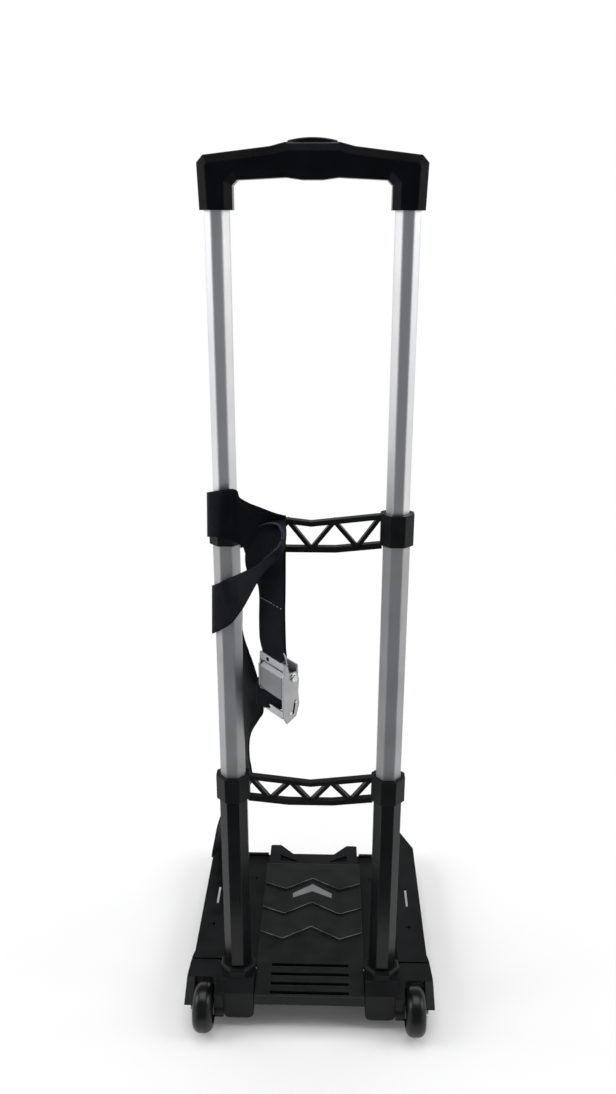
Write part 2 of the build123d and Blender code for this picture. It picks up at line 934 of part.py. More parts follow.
with BuildPart() as foot_pads:
    for side, sign in SIDES:
        for leg_spot in leg_spots(sign):
            slab(
                (leg_spot[0] - leg_size / 2, leg_spot[0] + leg_size / 2),
                (leg_spot[1] - leg_size / 2, leg_spot[1] + leg_size / 2),
                (0, pad_height),
            )
            disc(level(0, pad_height), leg_spot, pad_stem_diameter, pad_stem_height)
finish(foot_pads, "foot_pads")


def zigzag(y):
    """W-shaped edge across the deck, from left to right."""
    return [
        (-deck_half_width, y),
        (-chevron_valley_x, y - chevron_valley_drop),
        (0, y + chevron_peak_rise),
        (chevron_valley_x, y - chevron_valley_drop),
        (deck_half_width, y),
    ]


def accent_points():
    """Silver chevron in the middle of the deck."""
    return [
        (-accent_half_width, accent_end_y),
        (0, accent_peak_y),
        (accent_half_width, accent_end_y),
        (accent_half_width, accent_end_y - accent_end_band),
        (0, accent_peak_y - accent_band),
        (-accent_half_width, accent_end_y - accent_end_band),
    ]


accent_floor = deck_height - accent_seat
with BuildPart() as centre_deck:
    for half, near, far in deck_spans:
        slab((-half, half), (near, far), (pan_top, deck_height))
    for near_y in chevron_near_ys:
        far_edge = [(-deck_half_width, deck_far_y), (deck_half_width, deck_far_y)]
        if near_y < chevron_near_ys[-1]:
            far_edge = zigzag(near_y + chevron_pitch - chevron_gap)
        ramp_start = near_y - chevron_valley_drop
        ramp_end = max(y for _, y in far_edge)
        ramp = [
            (ramp_start, deck_height + chevron_step),
            (ramp_start, deck_height + 2 * chevron_step),
            (ramp_end, deck_height + 2 * chevron_step),
            (ramp_end, deck_height + chevron_low),
        ]
        tile = zigzag(near_y) + far_edge[::-1]
        prism(level(0, deck_height), tile, chevron_step)
        prism(across(-deck_half_width), ramp, 2 * deck_half_width, Mode.SUBTRACT)
    for groove_y in groove_ys:
        slab(
            (-groove_half_length, groove_half_length),
            (groove_y - groove_width / 2, groove_y + groove_width / 2),
            (deck_height - groove_depth, deck_height),
            Mode.SUBTRACT,
        )
    prism(level(0, accent_floor), accent_points(), chevron_step * 2, Mode.SUBTRACT)
finish(centre_deck, "centre_deck")

with BuildPart() as chevron_accent:
    prism(level(0, accent_floor), accent_points(), accent_height)
finish(chevron_accent, "chevron_accent")


# Handle
def handle_shell(name, toward):
    """Front or rear half of the bevelled handle; toward is -1 for the front."""
    inner_x = post_x - leg_width / 2
    outer_x = post_x + leg_width / 2
    half = [
        (outer_x, leg_bottom),
        (outer_x + shoulder_flare, leg_bottom + shoulder_rise),
        (outer_x - shoulder_inset, leg_bottom + shoulder_top_rise),
        (arm_half, leg_bottom + arm_rise),
        (crown_half, crown_z),
    ]
    under = [
        (grip_bulge_half, leg_bottom + grip_bulge_rise),
        (grip_under_half, leg_bottom + grip_under_rise),
        (inner_x - grip_corner_round, leg_bottom + grip_corner_rise + grip_corner_round),
        (inner_x, leg_bottom + grip_corner_rise),
        (inner_x, leg_bottom),
    ]
    outline = half + [(-x, z) for x, z in reversed(half)]
    outline += [(-x, z) for x, z in reversed(under)] + under
    with BuildPart() as piece:
        prism(frontal(leg_depth / 2), outline, leg_depth)
        for end in (0, -1):
            face = piece.faces().sort_by(Axis.Y)[end]
            edges = face.edges().filter_by(lambda edge: edge.center().Z > leg_bottom + bevel_clear)
            chamfer(edges, handle_bevel, handle_bevel_depth, reference=face)
        for side, sign in SIDES:
            x = sign * post_x
            socket = upper_tube_width + 2 * seat_gap
            octagon_prism(x, socket, leg_bottom, tube_top + seat_gap, Mode.SUBTRACT)
            disc(
                level(x, tube_top), (0, 0), rod_diameter + 2 * bar_gap,
                bar_bottom - tube_top, Mode.SUBTRACT,
            )
            disc(
                level(sign * spring_x, spring_bottom), (0, 0), spring_diameter + 2 * bar_gap,
                channel_bottom - spring_bottom, Mode.SUBTRACT,
            )
            for z in handle_screw_zs:
                rear = frontal(leg_depth / 2)
                disc(
                    rear, (x, z), handle_screw_diameter + 2 * fixed_gap,
                    leg_depth / 2, Mode.SUBTRACT,
                )
                disc(
                    rear, (x, z), handle_screw_head + 2 * fixed_gap,
                    handle_screw_head_height, Mode.SUBTRACT,
                )
        bar_end = post_x + rod_diameter / 2 + bar_gap
        slab(
            (-bar_end, bar_end),
            (-bar_width / 2 - bar_gap, bar_width / 2 + bar_gap),
            (channel_bottom, channel_top),
            Mode.SUBTRACT,
        )
        slab(
            (-button_half_width - button_gap, button_half_width + button_gap),
            (-button_depth / 2 - button_gap, button_depth / 2 + button_gap),
            (button_bottom - button_travel - bar_gap, button_top),
            Mode.SUBTRACT,
        )
        slab(
            (-2 * post_x, 2 * post_x), (0, toward * leg_depth), (leg_bottom, button_top),
            Mode.INTERSECT,
        )
    finish(piece, name)


handle_shell("handle_front_shell", -1)
handle_shell("handle_rear_shell", 1)

with BuildPart() as handle_screws:
    for side, sign in SIDES:
        for z in handle_screw_zs:
            rear = frontal(leg_depth / 2)
            shank = leg_depth / 2 - half_depth(upper_bore)
            disc(rear, (sign * post_x, z), handle_screw_diameter, shank)
            disc(rear, (sign * post_x, z), handle_screw_head, handle_screw_head_height)
finish(handle_screws, "handle_screws")

# Release mechanism
with BuildPart() as release_button:
    with BuildSketch(frontal(button_depth / 2)):
        with BuildLine():
            edge_z = button_top - button_dome
            dome = ThreePointArc(
                (-button_half_width, edge_z), (0, button_top), (button_half_width, edge_z)
            )
            Polyline(
                dome @ 1,
                (button_half_width, button_bottom),
                (-button_half_width, button_bottom),
                dome @ 0,
            )
        make_face()
    extrude(amount=button_depth)
    fillet(release_button.faces().sort_by(Axis.Z)[-1].edges(), button_round)
finish(release_button, "release_button")

with BuildPart() as release_bar:
    bar_half = post_x + rod_diameter / 2
    slab((-bar_half, bar_half), (-bar_width / 2, bar_width / 2), (bar_bottom, button_bottom))
finish(release_bar, "release_bar")

with BuildPart() as push_rods:
    for side, sign in SIDES:
        disc(level(sign * post_x, rod_bottom), (0, 0), rod_diameter, bar_bottom - rod_bottom)
finish(push_rods, "push_rods")

with BuildPart() as button_springs:
    for side, sign in SIDES:
        disc(
            level(sign * spring_x, spring_bottom), (0, 0), spring_diameter,
            bar_bottom - spring_bottom, bore=spring_diameter - 2 * spring_wall,
        )
finish(button_springs, "button_springs")


# Strap
def hanger_direction(turn):
    """Width direction of the hanging strap, turned about the vertical."""
    return (cos(radians(turn)), -sin(radians(turn)), 0)


def ribbon(name, stations):
    """Flat webbing through stations: offset from the left post, y, height, direction, width."""
    centres = [Vector(x - post_x, post_y + y, z) for x, y, z, _, _ in stations]
    with BuildPart() as piece:
        for i, (_, _, _, direction, share) in enumerate(stations):
            before = centres[max(i - 1, 0)]
            after = centres[min(i + 1, len(centres) - 1)]
            with BuildSketch(Plane(centres[i], x_dir=direction, z_dir=after - before)):
                Rectangle(strap_width * share, strap_thickness)
        loft(ruled=True)
    finish(piece, name)


wrap_middle = wrap_bottom + wrap_height / 2
wrap_bore = upper_collar_width + 2 * strap_gap
tube_wrap_bore = middle_tube_width + 2 * strap_gap
wrap_front = half_depth(upper_collar_width) + 2 * strap_gap + strap_thickness * 1.5
strap_end = buckle_top + strap_gap
lying_z = deck_height + strap_gap + strap_thickness / 2
FLAT = (0, 0, 1)
LEANING = (0.1, 0, 1)
EDGEWISE = (0.1, 1, 0)
TURNED = (-0.2, 1, 0)

front_run_route = [
    (-7, -wrap_front, wrap_middle, FLAT, 1.14),
    (12, -wrap_front - 0.6, wrap_middle + 2, FLAT, 1.14),
    (35.5, -wrap_front - 2, wrap_middle - 1, LEANING, 1.05),
    (59.5, -wrap_front - 3, wrap_middle - 6, LEANING, 0.7),
]
hanger_route = [
    (hanger_offset - 2, hanger_y + 10.3, wrap_middle + 6, hanger_direction(10), 0.7),
    (hanger_offset - 1, hanger_y, wrap_middle - 32, hanger_direction(35), 0.95),
    (hanger_offset, hanger_y, wrap_middle - 72, hanger_direction(hanger_turn), 1.0),
    (hanger_offset, hanger_y, strap_end, hanger_direction(hanger_turn), 1.0),
]
cross_run_route = [
    (16.5, -17, wrap_bottom - 63, (-0.45, 0, 1), 0.8),
    (29.5, -25, wrap_bottom - 43, (-0.6, 0.2, 1), 0.8),
    (42.5, -34, wrap_bottom - 11, (-0.5, 0.3, 0.8), 0.56),
]
tail_fall = buckle_bottom - lower_collar_top
tail_x = hanger_offset - tail_aside * turn_cos + tail_behind * turn_sin
tail_y = hanger_y + tail_aside * turn_sin + tail_behind * turn_cos
tail_upper_route = [
    (19.5, 28, buckle_bottom + 1.23 * buckle_height, EDGEWISE, 0.8),
    (26.5, 10, buckle_bottom + 0.64 * buckle_height, TURNED, 0.9),
    (tail_x, tail_y, buckle_bottom + 0.16 * buckle_height, (-turn_cos, turn_sin, 0), 0.7),
    (27.5, 14, buckle_bottom - 0.38 * tail_fall, TURNED, 0.9),
    (22.5, 31, lower_collar_top + 7, EDGEWISE, 0.7),
]
deck_fall = lower_collar_top - deck_height
wing_offset = post_x - leg_x
tail_lower_route = [
    (21.5, 31, lower_collar_top + 5, EDGEWISE, 0.7),
    (5.5, 36, lower_collar_top - 19, (0.3, 1, 0), 0.8),
    (0.55 * wing_offset, 0.26 * plate_reach, deck_height + 0.65 * deck_fall, (0.3, 0.8, 0.4), 0.8),
    (0.95 * wing_offset, 0.52 * plate_reach, deck_height + 0.3 * deck_fall, (0.4, 0.6, 0.7), 0.8),
    (wing_offset, 0.8 * plate_reach, deck_height + 0.05 * deck_fall, (1, 0, 0.2), 0.7),
    (wing_offset, 0.955 * plate_reach, lying_z, (1, 0, 0), 0.7),
]

with BuildPart() as strap_collar_wrap:
    octagon_prism(
        -post_x, wrap_bore + 2 * strap_thickness, wrap_bottom, wrap_bottom + wrap_height,
        bore=wrap_bore,
    )
    slab(
        (-post_x + wrap_open_x, -post_x + wrap_bore),
        (-truss_depth, wrap_bore),
        (wrap_bottom, wrap_bottom + wrap_height),
        Mode.SUBTRACT,
    )
finish(strap_collar_wrap, "strap_collar_wrap")

with BuildPart() as strap_tube_wrap:
    octagon_prism(
        -post_x, tube_wrap_bore + 2 * strap_thickness,
        tube_wrap_z - strap_width, tube_wrap_z + strap_width, bore=tube_wrap_bore,
    )
    tilted = Plane(
        origin=(-post_x, post_y, tube_wrap_z),
        x_dir=(cos(radians(tube_wrap_tilt)), 0, sin(radians(tube_wrap_tilt))),
        z_dir=(-sin(radians(tube_wrap_tilt)), 0, cos(radians(tube_wrap_tilt))),
    )
    with BuildSketch(tilted):
        Rectangle(2 * strap_width, 2 * strap_width)
    extrude(amount=strap_width / 2, both=True, mode=Mode.INTERSECT)
finish(strap_tube_wrap, "strap_tube_wrap")

ribbon("strap_front_run", front_run_route)
ribbon("strap_hanger", hanger_route)
ribbon("strap_cross_run", cross_run_route)
ribbon("strap_tail_upper", tail_upper_route)
ribbon("strap_tail_lower", tail_lower_route)

# Cam buckle
width_axis = Vector(turn_cos, -turn_sin, 0)
front_axis = Vector(-turn_sin, -turn_cos, 0)
buckle_middle = Vector(hanger_x, post_y + hanger_y, 0)
half_buckle = buckle_width / 2
inner_half = half_buckle - cheek_thickness
lever_half = inner_half - lever_gap
buckle_depth = buckle_front - buckle_rear
pin_z = buckle_bottom + buckle_pin_height_share * buckle_height
pin_front = buckle_front - buckle_pin_depth_share * buckle_depth
lever_front = buckle_front - pin_front
bar_spot = (
    buckle_front - buckle_bar_depth_share * buckle_depth,
    buckle_bottom + buckle_bar_height_share * buckle_height,
)


def buckle_side(offset_along):
    """Side-view plane of the buckle: local x is frontward, local y is height."""
    return Plane(
        buckle_middle + width_axis * offset_along, x_dir=front_axis, z_dir=width_axis * -1
    )


def cross_plate(front, low_share, high_share):
    """Flat plate between the cheeks, given its front and the shares of its edges."""
    low = buckle_bottom + low_share * buckle_height
    high = buckle_bottom + high_share * buckle_height
    back = front - buckle_plate
    corners = [(front, low), (front, high), (back, high), (back, low)]
    prism(buckle_side(inner_half), corners, 2 * inner_half)


cheek = [
    (buckle_front - depth * buckle_depth, buckle_bottom + height * buckle_height)
    for depth, height in cheek_shape
]
lever_shape = [
    (-knuckle_back, knuckle_top / 2),
    (-knuckle_back / 2, knuckle_top),
    (lever_front - lever_chamfer, lever_rise),
    (lever_front, lever_rise - lever_chamfer),
    (lever_front, -lever_drop),
    (lever_front - lever_wall, -lever_drop),
    (lever_front - lever_wall, -lever_wall),
    (knuckle_back / 2, -knuckle_low),
    (-knuckle_back, -knuckle_low / 2),
]
lever_profile = [(pin_front + x, pin_z + z) for x, z in lever_shape]

with BuildPart() as buckle_frame:
    for start in (half_buckle, cheek_thickness - half_buckle):
        prism(buckle_side(start), cheek, cheek_thickness)
    cross_plate(buckle_plate / 2, neck_low_share, 1.0)
    cross_plate(buckle_rear + buckle_plate, back_low_share, back_high_share)
    cross_plate(buckle_front, lip_low_share, lip_high_share)
    disc(
        buckle_side(half_buckle), (pin_front, pin_z),
        buckle_pin_diameter + 2 * fixed_gap, buckle_width, Mode.SUBTRACT,
    )
    disc(
        buckle_side(half_buckle), bar_spot,
        buckle_bar_diameter + 2 * fixed_gap, buckle_width, Mode.SUBTRACT,
    )
finish(buckle_frame, "buckle_frame")

with BuildPart() as buckle_pin:
    head = buckle_pin_diameter * buckle_pin_head_ratio
    disc(buckle_side(half_buckle), (pin_front, pin_z), buckle_pin_diameter, buckle_width)
    for start, amount in ((half_buckle, -buckle_plate), (-half_buckle, buckle_plate)):
        disc(buckle_side(start), (pin_front, pin_z), head, amount)
finish(buckle_pin, "buckle_pin")

with BuildPart() as buckle_bar:
    disc(buckle_side(half_buckle), bar_spot, buckle_bar_diameter, buckle_width)
finish(buckle_bar, "buckle_bar")

with BuildPart() as buckle_lever:
    prism(buckle_side(lever_half), lever_profile, 2 * lever_half)
    disc(
        buckle_side(lever_half), (pin_front, pin_z),
        buckle_pin_diameter + 2 * swing_gap, 2 * lever_half, Mode.SUBTRACT,
    )
finish(buckle_lever, "buckle_lever")
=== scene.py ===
import math

import bmesh
import bpy
from mathutils import Matrix, Vector


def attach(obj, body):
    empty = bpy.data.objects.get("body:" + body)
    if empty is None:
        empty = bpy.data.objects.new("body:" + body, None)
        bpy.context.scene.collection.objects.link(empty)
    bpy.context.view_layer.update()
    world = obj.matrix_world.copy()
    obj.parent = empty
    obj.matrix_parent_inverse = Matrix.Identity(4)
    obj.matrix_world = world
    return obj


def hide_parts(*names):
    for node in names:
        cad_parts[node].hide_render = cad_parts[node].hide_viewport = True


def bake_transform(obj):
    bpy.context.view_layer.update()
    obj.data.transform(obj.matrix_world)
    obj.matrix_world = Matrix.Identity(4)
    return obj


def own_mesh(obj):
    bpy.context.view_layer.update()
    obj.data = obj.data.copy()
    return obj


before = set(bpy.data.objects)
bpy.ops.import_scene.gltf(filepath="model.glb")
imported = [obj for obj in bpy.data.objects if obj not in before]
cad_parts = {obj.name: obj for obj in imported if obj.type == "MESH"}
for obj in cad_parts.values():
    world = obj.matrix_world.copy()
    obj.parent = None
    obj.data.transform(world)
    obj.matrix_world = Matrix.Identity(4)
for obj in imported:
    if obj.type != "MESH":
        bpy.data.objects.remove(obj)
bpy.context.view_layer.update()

# Sizes in millimetres, heights from the floor, depths from the middle of the posts
POST_Y = -116.25  # y of the posts in the row frame
LEFT = -87.5  # x of the left post
STRAP = 42.0  # width of the webbing
WEB = 1.4  # thickness of the webbing
BUCKLE_X = -39.0  # middle of the buckle
BUCKLE_Y = -34.0
TURN = math.radians(51)  # of the buckle about the vertical
CHEEK = 22.0  # outer face of the buckle's cheeks, from its middle
DECK_TOP = 52.0
CHANNEL_FLOOR = 40.0


def row(x, y, z):
    """Metres in the row frame, from millimetres with y counted from the posts."""
    return Vector((x, y + POST_Y, z)) / 1000


def buckle(w, f, z):
    """Millimetres from the posts, for a place across and in front of the buckle's middle."""
    x = BUCKLE_X + w * math.cos(TURN) - f * math.sin(TURN)
    return (x, BUCKLE_Y - w * math.sin(TURN) - f * math.cos(TURN), z)


# Materials
def shader(name, colour, roughness, metallic=0.0, **sockets):
    """A material with its main values on the shader's own sockets."""
    m = bpy.data.materials.new(name)
    m.use_nodes = True
    s = m.node_tree.nodes["Principled BSDF"]
    s.inputs["Base Color"].default_value = (*colour, 1)
    s.inputs["Roughness"].default_value = roughness
    s.inputs["Metallic"].default_value = metallic
    for key, value in sockets.items():
        s.inputs[key.replace("_", " ")].default_value = value
    return m, s


def add(m, kind, **values):
    """A node of a kind, with values for its properties or inputs."""
    n = m.node_tree.nodes.new(kind)
    for key, value in values.items():
        if hasattr(n, key):
            setattr(n, key, value)
        else:
            n.inputs[key.replace("_", " ")].default_value = value
    return n


def join(m, a, b):
    """A link from an output to an input."""
    m.node_tree.links.new(a, b)


def noise(m, scale, stretch=(1, 1, 1), detail=3.0):
    """Noise over the object's own coordinates."""
    where = add(m, "ShaderNodeTexCoord")
    place = add(m, "ShaderNodeMapping")
    place.inputs["Scale"].default_value = stretch
    n = add(m, "ShaderNodeTexNoise", Scale=scale, Detail=detail)
    join(m, where.outputs["Object"], place.inputs["Vector"])
    join(m, place.outputs["Vector"], n.inputs["Vector"])
    return n.outputs["Fac"]


def spread(m, value, low, high, start=0.3, end=0.7):
    """A value's middle range mapped to low and high."""
    n = add(m, "ShaderNodeMapRange")
    n.inputs["From Min"].default_value = start
    n.inputs["From Max"].default_value = end
    n.inputs["To Min"].default_value = low
    n.inputs["To Max"].default_value = high
    join(m, value, n.inputs["Value"])
    return n.outputs["Result"]


def tint(m, value, dark, light):
    """A colour between two, by a value."""
    n = add(m, "ShaderNodeMix", data_type="RGBA")
    n.inputs[6].default_value = (*dark, 1)
    n.inputs[7].default_value = (*light, 1)
    join(m, value, n.inputs["Factor"])
    return n.outputs[2]


def relief(m, s, value, depth, strength, edge=0.0):
    """Bump from a value, over edges that are slightly rounded."""
    b = add(m, "ShaderNodeBump", Strength=strength, Distance=depth)
    join(m, value, b.inputs["Height"])
    if edge:
        r = add(m, "ShaderNodeBevel", samples=4, Radius=edge)
        join(m, r.outputs["Normal"], b.inputs["Normal"])
    join(m, b.outputs["Normal"], s.inputs["Normal"])


def moulded(name, dark, light, rough, grain, depth, edge, **sockets):
    """Moulded plastic or rubber: fine grain, cloudy sheen, slightly rounded edges."""
    m, s = shader(name, light, sum(rough) / 2, **sockets)
    cloud = noise(m, 38)
    fine = noise(m, grain, detail=2)
    join(m, tint(m, spread(m, cloud, 0, 1), dark, light), s.inputs["Base Color"])
    join(m, spread(m, cloud, *rough), s.inputs["Roughness"])
    relief(m, s, fine, depth, 0.35, edge)
    return m


def drawn(name, dark, light, rough, stretch, depth, metallic=1.0, edge=0.0004, **sockets):
    """Metal with fine lines along the way it was drawn or brushed."""
    m, s = shader(name, light, sum(rough) / 2, metallic, **sockets)
    lines = noise(m, 900, stretch, 4)
    cloud = noise(m, 22)
    join(m, tint(m, spread(m, cloud, 0, 1), dark, light), s.inputs["Base Color"])
    join(m, spread(m, lines, *rough), s.inputs["Roughness"])
    relief(m, s, lines, depth, 0.25, edge)
    return m


def webbing(name, dark, light):
    """Ribbed weave that follows the strap's own width and length."""
    m, s = shader(name, light, 0.55, Specular_IOR_Level=0.07)
    where = add(m, "ShaderNodeUVMap", uv_map="weave")
    warp = add(m, "ShaderNodeTexWave", wave_type="BANDS", bands_direction="X", Scale=9.5)
    weft = add(m, "ShaderNodeTexWave", wave_type="BANDS", bands_direction="Y", Scale=12.5)
    for n in (warp, weft):
        join(m, where.outputs["UV"], n.inputs["Vector"])
    both = add(m, "ShaderNodeMath", operation="MULTIPLY")
    join(m, warp.outputs["Fac"], both.inputs[0])
    join(m, weft.outputs["Fac"], both.inputs[1])
    cloud = noise(m, 60)
    worn = add(m, "ShaderNodeMath", operation="MULTIPLY_ADD")
    worn.inputs[1].default_value = 0.45
    join(m, both.outputs[0], worn.inputs[0])
    join(m, spread(m, cloud, 0, 0.5), worn.inputs[2])
    join(m, tint(m, worn.outputs[0], dark, light), s.inputs["Base Color"])
    join(m, spread(m, both.outputs[0], 0.62, 0.42, 0, 1), s.inputs["Roughness"])
    relief(m, s, both.outputs[0], 0.0004, 0.6)
    return m


PLASTIC = moulded(
    "plastic_black",
    dark=(0.0016, 0.0022, 0.0026),
    light=(0.0042, 0.0055, 0.0058),
    rough=(0.40, 0.52),
    grain=1500,
    depth=0.00012,
    edge=0.001,
    Specular_IOR_Level=0.2,
)
GRIP = moulded(
    "plastic_grip",
    dark=(0.0006, 0.0008, 0.0018),
    light=(0.0018, 0.0022, 0.0042),
    rough=(0.25, 0.33),
    grain=1900,
    depth=0.0001,
    edge=0.0016,
    Specular_IOR_Level=0.17,
)
DECK = moulded(
    "plastic_deck",
    dark=(0.0022, 0.003, 0.0031),
    light=(0.0052, 0.0068, 0.0069),
    rough=(0.34, 0.46),
    grain=1300,
    depth=0.00014,
    edge=0.0013,
    Specular_IOR_Level=0.28,
)
ACCENT = moulded(
    "plastic_accent",
    dark=(0.14, 0.148, 0.15),
    light=(0.2, 0.208, 0.21),
    rough=(0.3, 0.45),
    grain=1500,
    depth=0.0001,
    edge=0.0004,
)
RUBBER = moulded(
    "rubber_tyre",
    dark=(0.0016, 0.002, 0.0022),
    light=(0.0038, 0.0044, 0.0047),
    rough=(0.26, 0.36),
    grain=1100,
    depth=0.00015,
    edge=0.0006,
    Specular_IOR_Level=0.3,
)
PAD = moulded(
    "rubber_pad",
    dark=(0.008, 0.008, 0.008),
    light=(0.015, 0.015, 0.015),
    rough=(0.6, 0.8),
    grain=900,
    depth=0.0002,
    edge=0.0005,
)
NYLON = moulded(
    "plastic_bush",
    dark=(0.14, 0.14, 0.14),
    light=(0.2, 0.2, 0.2),
    rough=(0.35, 0.5),
    grain=1200,
    depth=0.0001,
    edge=0.0003,
)
ALUMINIUM = drawn(
    "aluminium_satin",
    dark=(0.66, 0.67, 0.69),
    light=(0.72, 0.73, 0.75),
    rough=(0.36, 0.42),
    stretch=(1, 1, 0.012),
    depth=0.00001,
    edge=0.0026,
)
BLACK_TUBE = drawn(
    "tube_black",
    dark=(0.0018, 0.0022, 0.0026),
    light=(0.0042, 0.005, 0.0055),
    rough=(0.2, 0.28),
    stretch=(1, 1, 0.012),
    depth=0.00001,
    metallic=0.0,
    edge=0.0015,
    Specular_IOR_Level=0.25,
)
MATT = drawn(
    "aluminium_matt",
    dark=(0.40, 0.41, 0.42),
    light=(0.46, 0.47, 0.48),
    rough=(0.58, 0.66),
    stretch=(1, 1, 0.012),
    depth=0.00001,
    edge=0.0026,
)
STEEL = drawn(
    "steel_bright",
    dark=(0.55, 0.55, 0.56),
    light=(0.68, 0.68, 0.69),
    rough=(0.2, 0.34),
    stretch=(1, 0.05, 1),
    depth=0.00004,
)
SILVER = drawn(
    "buckle_silver",
    dark=(0.38, 0.39, 0.405),
    light=(0.49, 0.5, 0.515),
    rough=(0.34, 0.48),
    stretch=(1, 1, 0.2),
    depth=0.00003,
    edge=0.0012,
)
# Darker copy of the buckle's silver for the lever, painted shade
COVER_SHADE = drawn(
    "buckle_cover_painted_shade",
    dark=(0.2, 0.207, 0.214),
    light=(0.27, 0.278, 0.286),
    rough=(0.4, 0.5),
    stretch=(1, 1, 0.2),
    depth=0.00003,
    edge=0.0012,
)
SCREW = drawn(
    "screw_dark",
    dark=(0.03, 0.03, 0.035),
    light=(0.06, 0.06, 0.065),
    rough=(0.3, 0.45),
    stretch=(1, 1, 1),
    depth=0.00005,
)
# Lighter plastic for thin beads along the step edges, a painted highlight
RIM_HIGHLIGHT = moulded(
    "plastic_painted_highlight",
    dark=(0.02, 0.021, 0.022),
    light=(0.16, 0.165, 0.17),
    rough=(0.2, 0.35),
    grain=260,
    depth=0.00005,
    edge=0.0,
)
# Near-black painted shade, for plates laid where recesses, slots and grooves are in shade
PAINTED_SHADE = moulded(
    "recess_painted_shade",
    dark=(0.0003, 0.0003, 0.0004),
    light=(0.001, 0.001, 0.0012),
    rough=(0.6, 0.8),
    grain=900,
    depth=0.0001,
    edge=0.0,
    Specular_IOR_Level=0.02,
)
WEBBING = webbing("webbing_black", (0.0003, 0.001, 0.0022), (0.0026, 0.0052, 0.0095))
# Lighter copy of the webbing for the loop, a painted sheen
SHEEN_WEBBING = webbing("webbing_painted_sheen", (0.003, 0.0042, 0.0062), (0.011, 0.0145, 0.02))
# Lighter webbing for the bead along the loop's turn, a painted highlight
FOLD_HIGHLIGHT = moulded(
    "webbing_fold_painted_highlight",
    dark=(0.012, 0.016, 0.022),
    light=(0.034, 0.042, 0.054),
    rough=(0.5, 0.62),
    grain=1400,
    depth=0.0002,
    edge=0.0,
    Specular_IOR_Level=0.1,
)
THREAD = moulded(
    "thread_pale",
    dark=(0.2, 0.2, 0.21),
    light=(0.36, 0.36, 0.37),
    rough=(0.6, 0.8),
    grain=1800,
    depth=0.0001,
    edge=0.0,
)

FINISHES = {
    PLASTIC: "lower_crossbar upper_crossbar left_foot right_foot base_plate lower_bushes "
    "upper_bushes middle_plugs upper_plugs release_bar left_hub right_hub",
    GRIP: "handle_front_shell handle_rear_shell release_button",
    DECK: "centre_deck",
    ACCENT: "chevron_accent",
    NYLON: "left_wheel_bushes right_wheel_bushes",
    ALUMINIUM: "upper_tube_left upper_tube_right",
    MATT: "middle_tube_left middle_tube_right",
    BLACK_TUBE: "lower_tube_left lower_tube_right",
    RUBBER: "left_tyre right_tyre",
    PAD: "foot_pads",
    STEEL: "left_axle right_axle hinge_rod push_rods middle_lock_springs upper_lock_springs "
    "button_springs buckle_pin buckle_bar",
    SILVER: "buckle_frame",
    COVER_SHADE: "buckle_lever",
    SCREW: "lower_collar_screws upper_collar_screws foot_screws deck_screws handle_screws",
    WEBBING: "strap_collar_wrap strap_front_run strap_hanger strap_tube_wrap strap_cross_run "
    "strap_tail_upper strap_tail_lower",
}
for finish, names in FINISHES.items():
    for node in names.split():
        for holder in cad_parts[node].material_slots:
            holder.material = finish


# Strap
def smooth(points, t):
    """Point on a Catmull-Rom line through points; t counts stations."""
    i = min(int(t), len(points) - 2)
    f = t - i
    a = points[max(i - 1, 0)]
    b = points[i]
    c = points[i + 1]
    d = points[min(i + 2, len(points) - 1)]
    return 0.5 * (
        2 * b + (c - a) * f + (2 * a - 5 * b + 4 * c - d) * f * f + (3 * b - a - 3 * c + d) * f**3
    )


CURL_WIDTH = 0.25  # share of the webbing's width that a curl takes
CURL_DROP = 0.25  # how far a curl sinks for each millimetre to the front


